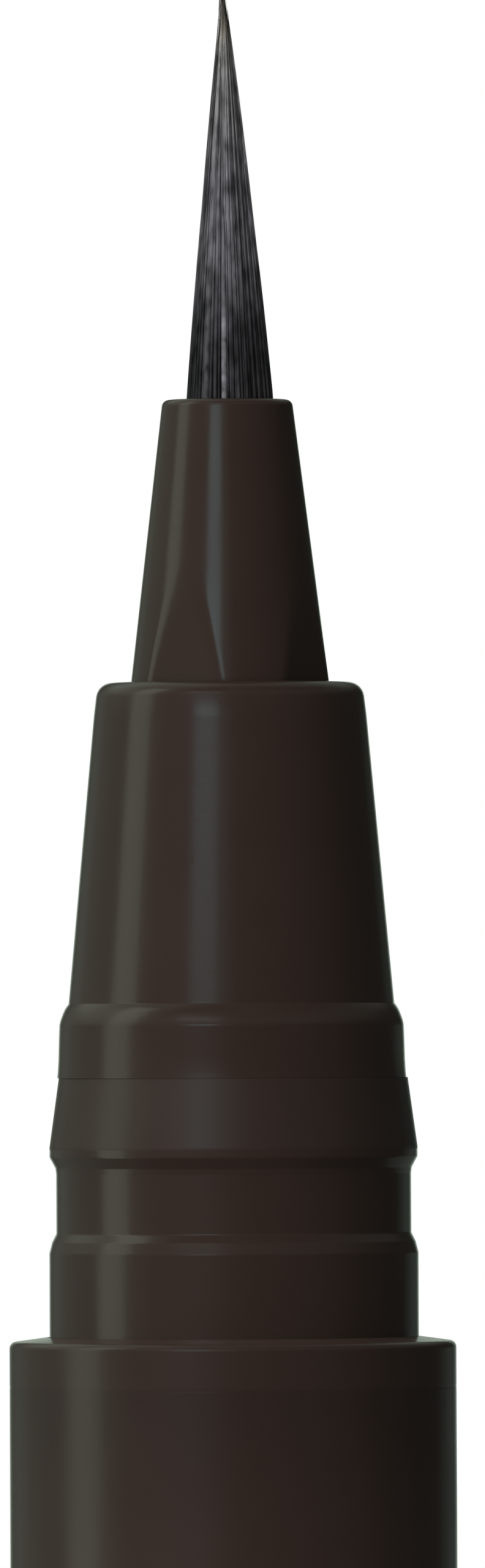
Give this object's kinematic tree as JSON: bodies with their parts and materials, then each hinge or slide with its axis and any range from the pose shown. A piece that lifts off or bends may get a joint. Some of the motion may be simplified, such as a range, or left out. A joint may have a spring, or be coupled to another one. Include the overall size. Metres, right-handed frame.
{
  "type": "eyebrow pen",
  "caption": "Slim liquid eyebrow pen with a fine pointed brush, a stepped tapered front with a snap ridge, and its cap pushed onto the tail as a stand.",
  "frame": {"origin": "middle of the flat face that the pen stands on, the closed end of the posted cap", "axes": "+Z along the pen's axis, from the closed end of the cap up to the brush's tip; the picture looks along +Y with +X to its right"},
  "size_m": [0.0094, 0.0094, 0.1558],
  "materials": {
    "inked_filament": "fine filaments wet with dark ink",
    "bonded_filament": "filaments bonded into one butt",
    "natural_plastic": "uncoloured moulded plastic",
    "front_plastic": "moulded dark brown plastic, satin gloss",
    "barrel_plastic": "moulded dark brown plastic, satin gloss",
    "relay_fibre": "porous fibre rod stained with ink",
    "seal_rubber": "soft matt elastomer",
    "ball_steel": "polished stainless steel",
    "spring_steel": "drawn stainless wire"
  },
  "bodies": {
    "cap": {"cap_shell": "barrel_plastic", "cap_crown": "barrel_plastic", "cap_spring": "spring_steel"},
    "inner_cap": {"inner_cap": "natural_plastic"},
    "pen": {"barrel": "barrel_plastic", "tail_plug": "front_plastic", "tank_seal": "seal_rubber", "collector": "natural_plastic", "relay_core": "relay_fibre", "snap_collar": "front_plastic", "front_sleeve": "front_plastic", "nose_cone": "front_plastic", "brush_retainer": "natural_plastic", "brush_root": "bonded_filament", "brush_bristles": "inked_filament"},
    "ball": {"mixing_ball": "ball_steel"}
  },
  "joints": [
    {"name": "pen_pull", "type": "slide", "parent": "cap", "child": "pen", "axis": [0, 0, 1], "range_m": [0, 0.02]},
    {"name": "inner_cap_press", "type": "slide", "parent": "cap", "child": "inner_cap", "axis": [0, 0, -1], "range_m": [0, 0.0016], "stiffness_N_per_m": 150, "springref_m": -0.002, "deforming": ["cap_spring"]},
    {"name": "ball_run", "type": "slide", "parent": "pen", "child": "ball", "axis": [0, 0, 1], "range_m": [0, 0.0548]}
  ]
}
